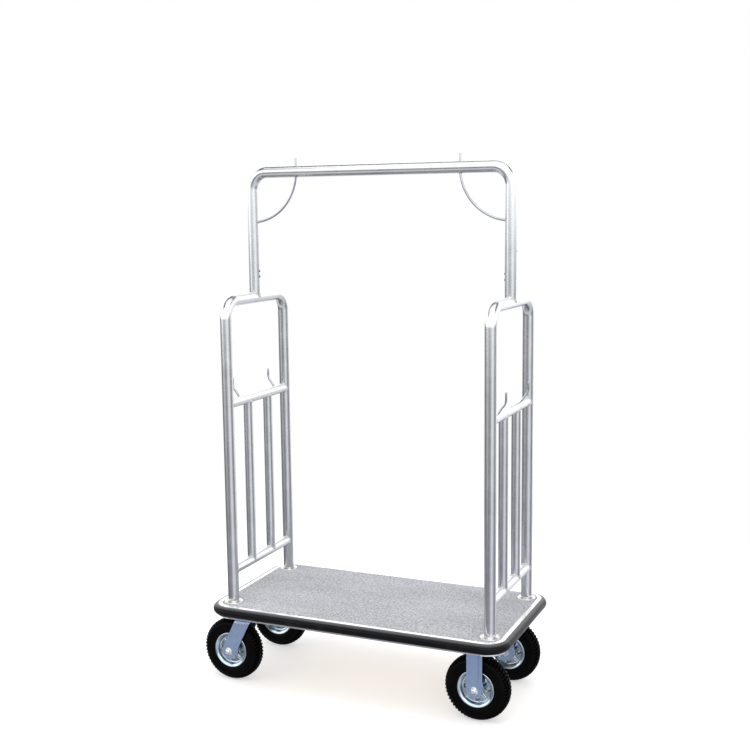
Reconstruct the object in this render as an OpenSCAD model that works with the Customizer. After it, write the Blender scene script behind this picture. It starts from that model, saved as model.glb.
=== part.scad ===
// Hotel luggage cart: carpeted deck on two rigid and two swivel casters, a tubular
// frame at each end and a garment arch between them.
// Millimetres, +Z up. The origin is on the floor, midway between the four posts.
// Front is -Y; the swivel casters are at the left end (-X), the rigid ones at +X.

/* [Deck] */
// Length over the metal edge of the deck
deck_l = 1028; // [960:2:1240]
// Width over the metal edge of the deck
deck_w = 532; // [510:2:660]
// Corner radius of the metal edge
deck_r = 62; // [40:1:80]
// Height of the top of the metal edge above the floor
deck_z = 291; // [284:1:345]
// Depth of the metal edge
edge_h = 35; // [34:1:48]
// How far the metal edge hangs below the bumper
skirt_h = 6; // [3:0.5:10]
// Sheet thickness of the metal edge
edge_t = 1.5; // [1:0.1:2.5]
// Width of the lip seen beside the carpet
lip_w = 14; // [12:1:20]
// Depth of the groove that holds the bumper
groove_d = 8; // [5:0.5:9]
// How far the bumper stands out of the metal edge
bumper_out = 18; // [12:1:24]
// Thickness of the plywood board
board_t = 21; // [16:1:22]
// Height of the carpet above the board
carpet_t = 6.5; // [4:0.5:9]

/* [Frames] */
// Outer diameter of the posts and the arch
tube_d = 38.1; // [32:0.1:46]
// Wall of the posts and the arch
tube_wall = 1.5; // [1.2:0.1:2.5]
// Outer diameter of the rails and bars
bar_d = 32; // [25:0.5:36]
// Wall of the rails and bars
bar_wall = 1.2; // [1:0.1:2]
// Distance between the two end frames
post_span_x = 926; // [860:2:1120]
// Distance between the posts of one end frame
post_span_y = 408; // [340:2:490]
// Height of the top tube of an end frame above the deck
hoop_h = 1037; // [860:1:1250]
// Bend radius of an end frame
hoop_bend_r = 60; // [45:1:80]
// Height of the upper rail above the deck
upper_rail_h = 690; // [575:1:830]
// Height of the lower rail above the deck
lower_rail_h = 111; // [90:1:135]
// Distance between the two bars of an end frame
bar_span = 140; // [110:2:170]

/* [Arch] */
// Height of the garment bar above the deck
arch_h = 1466; // [1400:1:1760]
// Bend radius of the arch
arch_bend_r = 58; // [45:1:80]
// Height of the seam between stub and arch above the top tube
stub_h = 57; // [40:1:70]
// Length of the spigot inside the arch leg
spigot_len = 130; // [115:1:156]
// Radius of the quarter-circle brace
brace_r = 169; // [140:1:203]
// Diameter of the brace rod
brace_d = 8; // [6:0.5:10]
// Height of the peg above the garment bar
peg_h = 26; // [15:1:32]

/* [Hooks] */
// Diameter of the hook rod
hook_d = 7; // [5:0.5:9]
// Distance between the two hooks of an end frame
hook_span = 250; // [220:2:300]
// How far the hook stands away from the rail
hook_out = 25; // [22:1:30]
// Height of the hook's bend above the rail
hook_bend_h = 45; // [40:1:54]
// Height of the hook's tip above the rail
hook_tip_h = 80; // [67:1:96]

/* [Casters] */
// Outside diameter of a wheel
wheel_d = 219; // [182:0.5:222]
// Width of a tyre
tyre_w = 58; // [49:1:62]
// Diameter of a rim over its flanges
rim_d = 124; // [114:1:128]
// Distance between the wheels of one axle line
wheel_track = 342; // [326:2:380]
// Distance of the rigid axles from the middle of the cart
rigid_x = 413; // [380:1:440]
// Distance of the swivel pivots from the middle of the cart
pivot_x = 426; // [400:1:440]
// Distance from a swivel pivot to its axle
trail = 60; // [50:1:64]
// Half the gap between the blades of a fork
fork_gap = 36; // [35:0.5:40]
// Thickness of the fork's sheet
fork_t = 4; // [3:0.5:5]
// Width of a fork blade
blade_w = 52; // [44:1:56]
// Diameter of an axle
axle_d = 12; // [10:0.5:14]
// Diameter of the kingpin
kingpin_d = 13; // [11:0.5:15]

/* [Clearances] */
// Gap left at a coped and welded joint
weld_gap = 0.05; // [0.02:0.01:0.1]
// Radial clearance of a running fit
run_gap = 0.05; // [0.02:0.01:0.1]
// Radial clearance round bolts, carpet and bumper
loose_gap = 0.2; // [0.1:0.05:0.3]
// Gap between faces that turn past each other
face_gap = 0.3; // [0.2:0.05:0.5]

/* [Hidden] */
$fn = 64;
BALL_FN = 24;

LEFT = -1;
RIGHT = 1;
FRONT = -1;
BACK = 1;
cut = 1;              // how far a cutting tool runs past the face it cuts

// deck levels
edge_z = deck_z - edge_h;
carpet_rise = 0.5;                 // carpet above the metal edge
board_z = deck_z - carpet_t - board_t + carpet_rise;
board_top = board_z + board_t;
carpet_top = board_top + carpet_t;
web_in = groove_d + edge_t;        // board edge, measured in from the metal edge
cross_t = board_z - edge_z;
cross_w = 120;

// frame levels and the inside of the tubes
hoop_z = deck_z + hoop_h;
upper_z = deck_z + upper_rail_h;
lower_z = deck_z + lower_rail_h;
arch_z = deck_z + arch_h;
seam_z = hoop_z + stub_h;
post_x = post_span_x / 2;
post_y = post_span_y / 2;
tube_in = tube_d - 2 * tube_wall;
foot_d = tube_d + 18;
foot_t = 3;
foot_screw_r = tube_d / 2 + 5;
foot_screw_d = 4;
foot_screw_len = 16;
foot_head_d = 7.2;
foot_head_h = 2.2;
foot_top = board_top + foot_t + weld_gap;
flange_d = tube_d + 24;
flange_h = 2.5;                    // above the carpet
collar_d = tube_d + 12;
collar_h = 6;                      // above the carpet

// arch fasteners
screw_d = 4;
screw_heights = [16, 35];
spigot_clear = 5;                  // left between a long spigot and the arch's bend
spigot_reach = min(spigot_len, arch_z - arch_bend_r - seam_z - spigot_clear);
rivet_height = spigot_reach - 22;

// hooks
hook_foot_h = 10;
hook_ball_d = hook_d + 0.6;

// caster levels
wheel_r = wheel_d / 2;
plate_t = 5;
plate_l = 105;
plate_w = 95;
plate_bolt_x = 84;
plate_bolt_y = 74;
plate_z = edge_z - plate_t;
plate_bolt_d = 8;
plate_hole_d = plate_bolt_d + 2 * loose_gap;
plate_corner_r = 8;
bolt_head_r = 8;
bolt_head_h = 2.8;
bolt_sink_r = bolt_head_r + 1;
bolt_sink = 3;                     // depth of the bolt heads' recess in the board
bolt_nut_r = 7.4;
bolt_nut_h = 6.5;
bolt_tail = 3;
race_z = plate_z - 11;             // height of the ball centres
ball_d = 8;
ball_count = 20;
ball_pitch_r = 28;
race_gap = 1.5;                    // half the gap between the two race rings
race_r = ball_pitch_r + 8;
crown_race_r = ball_pitch_r + 10;
kingpin_head_h = 4;
kingpin_head_r = kingpin_d / 2 + 5;
kingpin_nut_r = 11;
kingpin_nut_h = 9;
kingpin_tail = 2;
crown_z = race_z - 7;              // top of the folded fork
crown_t = 5;
swivel_x = -pivot_x;
swivel_axle_x = swivel_x - trail;
track_y = wheel_track / 2;
shoulder_r = 20;
blade_out = fork_gap + fork_t;
rib_w = blade_w / 2;
rib_rise = 3.5;                    // how far the pressed rib stands out of the blade
rib_start = 35;                    // height of the rib's low end above the axle
dimple_d = 8;
dimple_rise = 1.2;

// axle details
nut_r = 11;
bolt_head_t = 7;
dome_nut_h = 8;
dome_d = 17;
dome_h = 4;
dome_lap = 1;                      // how far the dome starts inside its nut
spacer_d = axle_d + 8;

// wheel details, measured along the axle from the middle plane of the wheel
rim_t = 2.4;
rim_r = rim_d / 2;
seat_r = rim_r - 9;
flange_y = tyre_w / 2 - 5;
disc_y = 11.6;
rim_lip_r = 2.2;
hub_r = 18;
hub_half = 26;
shield_w = 3;
shield_sink = 0.8;
pocket_r = 9.5;
pocket_wall = 1.5;
pocket_circle_r = 36;
rim_bolt_d = 7.6;
rim_nut_r = 6.4;
rim_nut_h = 6;
rim_head_h = 5;
rim_bolt_tail = 2;
half_gap = 0.05;

// tyre details
tread_t = 8.5;
wall_t = 8;
tread_groove = 3;
tread_groove_y = 13;
bead_lap = 0.4;
tyre_r = 20;
shortest_flat = 0.2;               // left between two round corners of a section

// ---------- shared shapes ----------

// Rectangle with round corners, exact arcs
module round_rect(l, w, r) {
    square([l, w - 2 * r], center = true);
    square([l - 2 * r, w], center = true);
    for (sx = [-1, 1], sy = [-1, 1])
        translate([sx * (l / 2 - r), sy * (w / 2 - r)]) circle(r);
}

// Slab of the deck's outline, shrunk by inset on every side
module deck_slab(inset, z, h) {
    translate([0, 0, z])
        linear_extrude(h) round_rect(deck_l - 2 * inset, deck_w - 2 * inset, deck_r - inset);
}

// Solid inverted U in the XZ plane: two legs, two bends and a bar between them
module arch_solid(span, foot_z, top_z, bend_r, d) {
    for (side = [0, 1]) mirror([side, 0, 0]) {
        translate([span / 2, 0, foot_z]) cylinder(d = d, h = top_z - bend_r - foot_z);
        translate([span / 2 - bend_r, 0, top_z - bend_r])
            rotate([90, 0, 0]) rotate_extrude(angle = 90) translate([bend_r, 0]) circle(d = d);
    }
    translate([-span / 2 + bend_r, 0, top_z])
        rotate([0, 90, 0]) cylinder(d = d, h = span - 2 * bend_r);
}

// Round bar along Y
module bar_y(length, d) {
    rotate([90, 0, 0]) cylinder(d = d, h = length, center = true);
}

// Children at the four posts
module at_posts() {
    for (sx = [LEFT, RIGHT], sy = [FRONT, BACK])
        translate([sx * post_x, sy * post_y, 0]) children();
}

// Children at the four bolts of each caster plate
module at_plate_bolts() {
    for (x = [swivel_x, rigid_x], sy = [FRONT, BACK], bx = [-0.5, 0.5], by = [-0.5, 0.5])
        translate([x + bx * plate_bolt_x, sy * track_y + by * plate_bolt_y, 0]) children();
}

// Children in a frame whose +Z is an axle's outboard direction, at the wheel's centre
module at_wheel(x, side) {
    translate([x, side * track_y, wheel_r]) rotate([-side * 90, 0, 0]) children();
}

// ---------- deck ----------

// Metal edge: a channel that opens outwards and holds the bumper, with a skirt below it
module deck_edge() {
    color("silver") difference() {
        deck_slab(0, edge_z - skirt_h, edge_h + skirt_h);
        deck_slab(edge_t, edge_z - skirt_h - cut, skirt_h + cut);
        deck_slab(web_in, edge_z - cut, edge_h - edge_t + cut);
        deck_slab(lip_w, edge_z, edge_h + cut);
        difference() {
            deck_slab(-cut, edge_z + edge_t, edge_h - 2 * edge_t);
            deck_slab(groove_d, edge_z, edge_h);
        }
    }
}

// Two steel flats under the board that carry the casters
module cross_members() {
    color("dimgray") difference() {
        intersection() {
            deck_slab(web_in + weld_gap, edge_z, cross_t);
            for (x = [swivel_x, rigid_x])
                translate([x - cross_w / 2, -deck_w / 2, edge_z]) cube([cross_w, deck_w, cross_t]);
        }
        at_plate_bolts() translate([0, 0, edge_z - cut])
            cylinder(d = plate_hole_d, h = cross_t + 2 * cut);
    }
}

module deck_board() {
    color("burlywood") difference() {
        deck_slab(web_in + weld_gap, board_z, board_t);
        at_foot_screws() translate([0, 0, board_top - foot_screw_len])
            cylinder(d = foot_screw_d + 2 * weld_gap, h = foot_screw_len + cut);
        at_plate_bolts() {
            translate([0, 0, board_z - cut]) cylinder(d = plate_hole_d, h = board_t + 2 * cut);
            translate([0, 0, board_top - bolt_sink]) cylinder(r = bolt_sink_r, h = bolt_sink + cut);
        }
    }
}

module deck_carpet() {
    color("lightgray") difference() {
        deck_slab(lip_w + loose_gap, board_top, carpet_t);
        at_posts() translate([0, 0, board_top - cut])
            cylinder(d = flange_d + 2 * loose_gap, h = carpet_t + 2 * cut);
    }
}

// Section of the bumper: x is outwards from the metal edge, y is up from its underside
module bumper_section() {
    nose_r = edge_h / 2 - 0.5;
    tongue_y = edge_t + loose_gap;
    intersection() {
        translate([bumper_out - nose_r, edge_h / 2]) circle(nose_r);
        translate([weld_gap, 0]) square([bumper_out, edge_h]);
    }
    translate([weld_gap, edge_h / 2 - nose_r])
        square([max(bumper_out - nose_r, edge_t), 2 * nose_r]);
    translate([loose_gap - groove_d, tongue_y]) square([groove_d, edge_h - 2 * tongue_y]);
}

// Rubber bumper: four straight runs and four corners of the same section
module bumper() {
    color("#19191c") translate([0, 0, edge_z]) {
        for (sx = [LEFT, RIGHT], sy = [FRONT, BACK])
            in_quarter(sx, sy) translate([deck_l / 2 - deck_r, deck_w / 2 - deck_r, 0])
                rotate_extrude(angle = 90) translate([deck_r, 0]) bumper_section();
        for (turn = [0, 180]) rotate([0, 0, turn]) {
            translate([deck_l / 2, 0, 0]) rotate([90, 0, 0])
                linear_extrude(deck_w - 2 * deck_r, center = true) bumper_section();
            translate([0, deck_w / 2, 0]) rotate([90, 0, 90])
                linear_extrude(deck_l - 2 * deck_r, center = true) bumper_section();
        }
    }
}

// Mirrors a piece drawn in the +X +Y quarter into another quarter
module in_quarter(sx, sy) {
    mirror([sx < 0 ? 1 : 0, 0, 0]) mirror([0, sy < 0 ? 1 : 0, 0]) children();
}

// Escutcheons round the feet of the posts, let into the carpet over the foot screws:
// a ring with a raised collar
module post_flanges() {
    low = board_top + foot_t + foot_head_h + 2 * weld_gap;
    color("whitesmoke") at_posts() difference() {
        union() {
            translate([0, 0, low]) cylinder(d = flange_d, h = carpet_top + flange_h - low);
            translate([0, 0, low]) cylinder(d = collar_d, h = carpet_top + collar_h - low);
        }
        translate([0, 0, low - cut])
            cylinder(d = tube_d + 2 * weld_gap, h = carpet_t + collar_h + 2 * cut);
    }
}

// Round foot plates welded under the posts, under the carpet's level
module post_feet() {
    color("gray") difference() {
        at_posts() translate([0, 0, board_top]) cylinder(d = foot_d, h = foot_t);
        at_foot_screws() translate([0, 0, board_top - cut])
            cylinder(d = foot_screw_d + 2 * weld_gap, h = foot_t + 2 * cut);
    }
}

// Pan-head screws that hold the foot plates to the board
module post_screws() {
    color("gray") at_foot_screws() {
        translate([0, 0, board_top - foot_screw_len + weld_gap])
            cylinder(d = foot_screw_d, h = foot_screw_len + foot_t);
        translate([0, 0, board_top + foot_t + weld_gap]) cylinder(d = foot_head_d, h = foot_head_h);
    }
}

// Children at the four screws of each foot plate
module at_foot_screws() {
    at_posts() for (turn = [0 : 90 : 270]) rotate([0, 0, turn])
        translate([foot_screw_r, 0, 0]) children();
}

// ---------- end frames ----------

// One bent tube: two posts and the top tube between them
module end_frame(side) {
    color("silver") translate([side * post_x, 0, 0]) rotate([0, 0, 90]) difference() {
        arch_solid(post_span_y, foot_top, hoop_z, hoop_bend_r, tube_d);
        arch_solid(post_span_y, foot_top - cut, hoop_z, hoop_bend_r, tube_in);
    }
}

// Rail between the posts, coped to their round sides
module rail(side, z) {
    color("silver") translate([side * post_x, 0, z]) difference() {
        bar_y(post_span_y, bar_d);
        bar_y(post_span_y + 2 * cut, bar_d - 2 * bar_wall);
        for (sy = [FRONT, BACK]) translate([0, sy * post_y, 0])
            cylinder(d = tube_d + 2 * weld_gap, h = 2 * bar_d, center = true);
    }
}

// Upright bar between the rails, coped to their round sides
module frame_bar(side, sy) {
    color("silver") translate([side * post_x, sy * bar_span / 2, 0]) difference() {
        translate([0, 0, lower_z]) cylinder(d = bar_d, h = upper_z - lower_z);
        translate([0, 0, lower_z - cut])
            cylinder(d = bar_d - 2 * bar_wall, h = upper_z - lower_z + 2 * cut);
        for (z = [lower_z, upper_z]) translate([0, 0, z]) bar_y(2 * bar_d, bar_d + 2 * weld_gap);
    }
}

// Two bag hooks: rod leaning away from the deck, then upright, with a ball at bend and tip
module hooks(side) {
    tip_z = hook_tip_h - hook_ball_d / 2;
    lean = atan2(hook_out, hook_bend_h - hook_foot_h);
    color("silver") for (sy = [FRONT, BACK])
        translate([side * post_x, sy * hook_span / 2, upper_z]) difference() {
            mirror([side < 0 ? 1 : 0, 0, 0]) {
                translate([0, 0, hook_foot_h]) rotate([0, lean, 0])
                    cylinder(d = hook_d, h = norm([hook_out, hook_bend_h - hook_foot_h]));
                translate([hook_out, 0, hook_bend_h]) cylinder(d = hook_d, h = tip_z - hook_bend_h);
                for (z = [hook_bend_h, tip_z]) translate([hook_out, 0, z]) sphere(d = hook_ball_d);
            }
            bar_y(2 * hook_d, bar_d + 2 * weld_gap);
        }
}

// ---------- garment arch ----------

// Stub on the top tube, with a spigot that fits into the arch leg
module spigot(side) {
    bore = 24;
    spigot_d = tube_in - 4 * weld_gap;
    color("silver") translate([side * post_x, 0, 0]) difference() {
        union() {
            translate([0, 0, hoop_z]) cylinder(d = tube_d, h = stub_h);
            translate([0, 0, seam_z - cut]) cylinder(d = spigot_d, h = spigot_reach + cut);
        }
        translate([0, 0, hoop_z]) cylinder(d = bore, h = stub_h + spigot_reach + cut);
        translate([0, 0, hoop_z]) bar_y(2 * tube_d, tube_d + 2 * weld_gap);
        arch_fastener_holes(side);
    }
}

// Holes for the two screws inside and the rivet outside, in an arch leg's own frame
module arch_fastener_holes(side) {
    for (h = screw_heights) translate([0, 0, seam_z + h])
        rotate([0, -side * 90, 0]) cylinder(d = screw_d + 2 * weld_gap, h = tube_d);
    translate([0, 0, seam_z + rivet_height])
        rotate([0, side * 90, 0]) cylinder(d = screw_d + 2 * weld_gap, h = tube_d);
}

module garment_arch() {
    color("silver") difference() {
        arch_solid(post_span_x, seam_z + weld_gap, arch_z, arch_bend_r, tube_d);
        arch_solid(post_span_x, seam_z - cut, arch_z, arch_bend_r, tube_in);
        for (side = [LEFT, RIGHT]) translate([side * post_x, 0, 0]) arch_fastener_holes(side);
        for (side = [LEFT, RIGHT]) brace_rod(side, brace_d + 2 * weld_gap, peg_h + cut);
    }
}

// Corner brace: a quarter circle about the arch's corner, coped to the leg, then a peg
module brace_rod(side, d, reach) {
    mirror([side < 0 ? 1 : 0, 0, 0]) difference() {
        union() {
            translate([post_x, 0, arch_z]) rotate([90, 180, 0])
                rotate_extrude(angle = 90) translate([brace_r, 0]) circle(d = d);
            translate([post_x - brace_r, 0, arch_z]) cylinder(d = d, h = tube_d / 2 + reach);
        }
        translate([post_x, 0, arch_z - brace_r])
            cylinder(d = tube_d + 2 * weld_gap, h = 4 * brace_d, center = true);
    }
}

module brace(side) {
    color("silver") brace_rod(side, brace_d, peg_h);
}

// Button-head screws on the sides of the arch that face each other
module arch_screws() {
    reach = tube_wall + 4;
    color("dimgray") for (side = [LEFT, RIGHT], h = screw_heights)
        translate([side * (post_x - tube_d / 2), 0, seam_z + h]) rotate([0, -side * 90, 0]) {
            translate([0, 0, weld_gap]) cylinder(d = 2 * screw_d, h = 1);
            translate([0, 0, 1]) cylinder(d = 1.5 * screw_d, h = 1);
            translate([0, 0, -reach]) cylinder(d = screw_d, h = reach + 1);
        }
}

module arch_rivets() {
    reach = tube_wall + 4;
    color("dimgray") for (side = [LEFT, RIGHT])
        translate([side * (post_x + tube_d / 2), 0, seam_z + rivet_height]) rotate([0, side * 90, 0]) {
            translate([0, 0, weld_gap]) cylinder(d = 1.5 * screw_d, h = 1);
            translate([0, 0, -reach]) cylinder(d = screw_d, h = reach + 1);
        }
}

// ---------- casters ----------

// Plate with four bolt holes, its top face at the underside of the deck
module caster_plate() {
    difference() {
        translate([0, 0, plate_z])
            linear_extrude(plate_t) round_rect(plate_l, plate_w, plate_corner_r);
        for (bx = [-0.5, 0.5], by = [-0.5, 0.5])
            translate([bx * plate_bolt_x, by * plate_bolt_y, plate_z - cut])
                cylinder(d = plate_hole_d, h = plate_t + 2 * cut);
    }
}

// Folded sheet seen along X: a U with round shoulders, open downwards
module fork_section(top, web) {
    difference() {
        shoulder_shape(blade_out, top, shoulder_r);
        shoulder_shape(fork_gap, top - web, shoulder_r - fork_t);
    }
}

// Upright shape with round top corners, running down past the axle to the floor
module shoulder_shape(half, top, r) {
    translate([-half, 0]) square([2 * half, top - r]);
    translate([-half + r, 0]) square([2 * (half - r), top]);
    for (s = [-1, 1]) translate([s * (half - r), top - r]) circle(r);
}

// Children (a fork's outline seen along Y) folded from sheet, as a solid at the wheel's middle plane
module folded_fork(top, web) {
    intersection() {
        rotate([90, 0, 90]) linear_extrude(4 * plate_l, center = true) fork_section(top, web);
        rotate([90, 0, 0]) linear_extrude(4 * fork_gap, center = true) children();
    }
}

// Bore through both blades for the axle
module axle_bore() {
    rotate([90, 0, 0]) cylinder(d = axle_d + 2 * run_gap, h = 4 * fork_gap, center = true);
}

module rigid_fork(side) {
    rib_low = wheel_r + rib_start;
    rib_high = plate_z - shoulder_r - rib_rise;
    color("#a9b8cc") translate([rigid_x, side * track_y, 0]) difference() {
        union() {
            caster_plate();
            folded_fork(plate_z, fork_t) {
                translate([-blade_w / 2, wheel_r]) square([blade_w, plate_z - wheel_r]);
                translate([0, wheel_r]) circle(d = blade_w);
            }
            for (s = [-1, 1]) translate([0, s * blade_out, 0])
                rotate([90, 0, 0]) linear_extrude(2 * rib_rise, center = true) {
                    translate([-rib_w / 2, rib_low]) square([rib_w, rib_high - rib_low]);
                    translate([0, rib_low]) circle(d = rib_w);
                    translate([0, rib_high]) circle(d = rib_w);
                }
        }
        translate([0, 0, wheel_r]) axle_bore();
    }
}

// Plate of a swivel caster, with the upper ball race under it
module swivel_plate(side) {
    color("#b8c4d2") translate([swivel_x, side * track_y, 0]) difference() {
        union() {
            caster_plate();
            translate([0, 0, race_z + race_gap])
                cylinder(r = race_r, h = plate_z - race_z - race_gap);
        }
        race_groove();
        translate([0, 0, race_z]) cylinder(d = kingpin_d + 2 * run_gap, h = edge_z);
        translate([0, 0, edge_z - kingpin_head_h])
            cylinder(r = kingpin_head_r, h = kingpin_head_h + cut);
    }
}

module race_groove() {
    translate([0, 0, race_z]) rotate_extrude()
        translate([ball_pitch_r, 0]) circle(d = ball_d + loose_gap);
}

module race_balls() {
    color("silver") for (side = [FRONT, BACK], i = [0 : ball_count - 1])
        translate([swivel_x, side * track_y, race_z]) rotate([0, 0, i * 360 / ball_count])
            translate([ball_pitch_r, 0, 0]) sphere(d = ball_d, $fn = BALL_FN);
}

// Kingpin with a countersunk head in the plate and a nut under the crown
module kingpins() {
    head_z = edge_z - kingpin_head_h;
    nut_z = crown_z - crown_t - face_gap - kingpin_nut_h;
    tail_z = nut_z - kingpin_tail;
    color("gray") for (side = [FRONT, BACK]) translate([swivel_x, side * track_y, 0]) {
        translate([0, 0, head_z])
            cylinder(r = kingpin_head_r - loose_gap, h = kingpin_head_h - loose_gap);
        translate([0, 0, tail_z]) cylinder(d = kingpin_d, h = head_z - tail_z);
        translate([0, 0, nut_z]) cylinder(r = kingpin_nut_r, h = kingpin_nut_h, $fn = 6);
    }
}

// Raked fork of a swivel caster, with the lower ball race on its crown
module swivel_fork(side) {
    rise = crown_z - crown_t / 2 - wheel_r;
    rake = atan2(trail, rise);
    blade_len = norm([trail, rise]) + blade_w;
    color("#a9b8cc") translate([swivel_x, side * track_y, 0]) difference() {
        union() {
            folded_fork(crown_z, crown_t)
                translate([-trail, wheel_r]) rotate(-rake) {
                    translate([-blade_w / 2, 0]) square([blade_w, blade_len]);
                    circle(d = blade_w);
                }
            translate([0, 0, crown_z - crown_t / 2])
                cylinder(r = crown_race_r, h = race_z - race_gap - crown_z + crown_t / 2);
            translate([0, 0, crown_z - crown_t]) cylinder(r = ball_pitch_r, h = crown_t);
            for (s = [-1, 1]) translate([-trail / 2, s * blade_out, wheel_r + rise / 2])
                rotate([90, 0, 0]) cylinder(d = dimple_d, h = 2 * dimple_rise, center = true);
        }
        race_groove();
        translate([0, 0, crown_z - crown_t - cut])
            cylinder(d = kingpin_d + 2 * run_gap, h = edge_z);
        translate([-trail, 0, wheel_r]) axle_bore();
    }
}

// Carriage bolts down through the board, each with a nut under its caster plate
module caster_bolts() {
    head_z = board_top - bolt_sink;
    tail_z = plate_z - bolt_nut_h - bolt_tail;
    color("gray") at_plate_bolts() {
        translate([0, 0, head_z]) cylinder(r = bolt_head_r, h = bolt_head_h);
        translate([0, 0, tail_z]) cylinder(d = plate_bolt_d, h = head_z - tail_z);
        translate([0, 0, plate_z - bolt_nut_h]) cylinder(r = bolt_nut_r, h = bolt_nut_h, $fn = 6);
    }
}

// Axle in a wheel's frame: bolt, dome nut outboard and a spacer each side of the hub
module axle() {
    head_z = -blade_out - bolt_head_t;
    dome_z = blade_out + dome_nut_h - dome_lap;
    color("#c9d2dc") {
        translate([0, 0, head_z]) cylinder(r = nut_r, h = bolt_head_t - weld_gap, $fn = 6);
        translate([0, 0, head_z + cut]) cylinder(d = axle_d, h = dome_z - head_z);
        translate([0, 0, blade_out + weld_gap]) cylinder(r = nut_r, h = dome_nut_h, $fn = 6);
        translate([0, 0, dome_z]) cylinder(d = dome_d, h = dome_h + dome_lap);
        for (s = [-1, 1]) translate([0, 0, s * (fork_gap + hub_half + face_gap) / 2]) difference() {
            cylinder(d = spacer_d, h = fork_gap - hub_half - face_gap - 2 * weld_gap, center = true);
            cylinder(d = axle_d + 2 * weld_gap, h = fork_gap, center = true);
        }
    }
}

// ---------- wheel, drawn about +Z with the middle plane at z = 0 ----------

// Rounded rectangle by its limits, with corners no rounder than it has room for
module limits(x0, x1, half, r) {
    room = (min(x1 - x0, 2 * half) - shortest_flat) / 2;
    translate([(x0 + x1) / 2, 0]) round_rect(x1 - x0, 2 * half, min(r, room));
}

// Tyre with a hollow section, open between its beads
module tyre() {
    bead_r = seat_r + 2 * weld_gap;
    bead_half = flange_y - face_gap;
    gap_half = tyre_w / 6;
    color("#141416") rotate_extrude() difference() {
        union() {
            limits(rim_r + bead_lap, wheel_r, tyre_w / 2, tyre_r);
            translate([bead_r, -bead_half]) square([2 * wall_t, 2 * bead_half]);
        }
        limits(rim_r + rim_lip_r, wheel_r - tread_t, tyre_w / 2 - wall_t, tyre_r - wall_t + 2);
        translate([seat_r - cut, -gap_half]) square([2.5 * wall_t, 2 * gap_half]);
        for (y = [-tread_groove_y, 0, tread_groove_y])
            translate([wheel_r - tread_groove, y - tread_groove / 2])
                square([tread_groove + cut, tread_groove]);
    }
}

// Half of the pressed rim: flange, bead seat, disc, hub collar and four bolt pockets
module rim_half() {
    color("#c3cfdb") difference() {
        union() {
            rotate_extrude() {
                translate([seat_r - rim_t, half_gap]) square([rim_t, flange_y - half_gap]);
                translate([seat_r - rim_t, flange_y])
                    square([rim_r - rim_lip_r - seat_r + rim_t, rim_t]);
                translate([rim_r - rim_lip_r, flange_y + rim_lip_r]) circle(rim_lip_r);
                translate([hub_r + half_gap, disc_y]) square([seat_r - rim_t - hub_r, rim_t]);
                translate([hub_r + half_gap, disc_y]) square([rim_t, disc_y]);
            }
            at_pockets() translate([0, 0, half_gap]) cylinder(r = pocket_r, h = disc_y + rim_t);
        }
        at_pockets() translate([0, 0, rim_t]) cylinder(r = pocket_r - pocket_wall, h = tyre_w);
        at_pockets() cylinder(d = rim_bolt_d + 2 * weld_gap, h = tyre_w, center = true);
    }
}

module at_pockets() {
    for (i = [0 : 3]) rotate([0, 0, i * 90]) translate([pocket_circle_r, 0, 0]) children();
}

module rim_bolts() {
    grip = rim_t + weld_gap;
    color("#8b939c") at_pockets() {
        translate([0, 0, grip]) cylinder(r = rim_nut_r, h = rim_head_h, $fn = 6);
        translate([0, 0, -grip - rim_nut_h - rim_bolt_tail])
            cylinder(d = rim_bolt_d, h = 2 * grip + rim_nut_h + rim_bolt_tail + cut);
        translate([0, 0, -grip - rim_nut_h]) cylinder(r = rim_nut_r, h = rim_nut_h, $fn = 6);
    }
}

// Bearing hub: a sleeve with a shield recess at each end
module hub() {
    color("gray") difference() {
        cylinder(r = hub_r, h = 2 * hub_half, center = true);
        cylinder(d = axle_d + 2 * run_gap, h = 2 * hub_half + 2 * cut, center = true);
        for (s = [-1, 1]) translate([0, 0, s * hub_half]) difference() {
            cylinder(r = hub_r - shield_w, h = 2 * shield_sink, center = true);
            cylinder(d = spacer_d, h = 2 * shield_sink + cut, center = true);
        }
    }
}

// ---------- nodes ----------

deck_edge();
cross_members();
deck_board();
deck_carpet();
bumper();
post_flanges();
post_feet();
post_screws();
end_frame(LEFT);  // end_frame_left
end_frame(RIGHT);  // end_frame_right
rail(LEFT, upper_z);  // upper_rail_left
rail(RIGHT, upper_z);  // upper_rail_right
rail(LEFT, lower_z);  // lower_rail_left
rail(RIGHT, lower_z);  // lower_rail_right
frame_bar(LEFT, FRONT);  // bar_left_front
frame_bar(LEFT, BACK);  // bar_left_back
frame_bar(RIGHT, FRONT);  // bar_right_front
frame_bar(RIGHT, BACK);  // bar_right_back
spigot(LEFT);  // spigot_left
spigot(RIGHT);  // spigot_right
garment_arch();
brace(LEFT);  // brace_left
brace(RIGHT);  // brace_right
hooks(LEFT);  // hooks_left
hooks(RIGHT);  // hooks_right
arch_screws();
arch_rivets();
rigid_fork(FRONT);  // rigid_fork_front
rigid_fork(BACK);  // rigid_fork_back
for (side = [FRONT, BACK]) at_wheel(rigid_x, side) axle();  // rigid_axles
swivel_plate(FRONT);  // swivel_plate_front
swivel_plate(BACK);  // swivel_plate_back
kingpins();
race_balls();
caster_bolts();
swivel_fork(FRONT);  // swivel_fork_front
swivel_fork(BACK);  // swivel_fork_back
at_wheel(swivel_axle_x, FRONT) axle();  // swivel_axle_front
at_wheel(swivel_axle_x, BACK) axle();  // swivel_axle_back
at_wheel(swivel_axle_x, FRONT) tyre();  // tyre_left_front
at_wheel(swivel_axle_x, BACK) tyre();  // tyre_left_back
at_wheel(rigid_x, FRONT) tyre();  // tyre_right_front
at_wheel(rigid_x, BACK) tyre();  // tyre_right_back
at_wheel(swivel_axle_x, FRONT) rim_half();  // rim_outer_left_front
at_wheel(swivel_axle_x, BACK) rim_half();  // rim_outer_left_back
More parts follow.
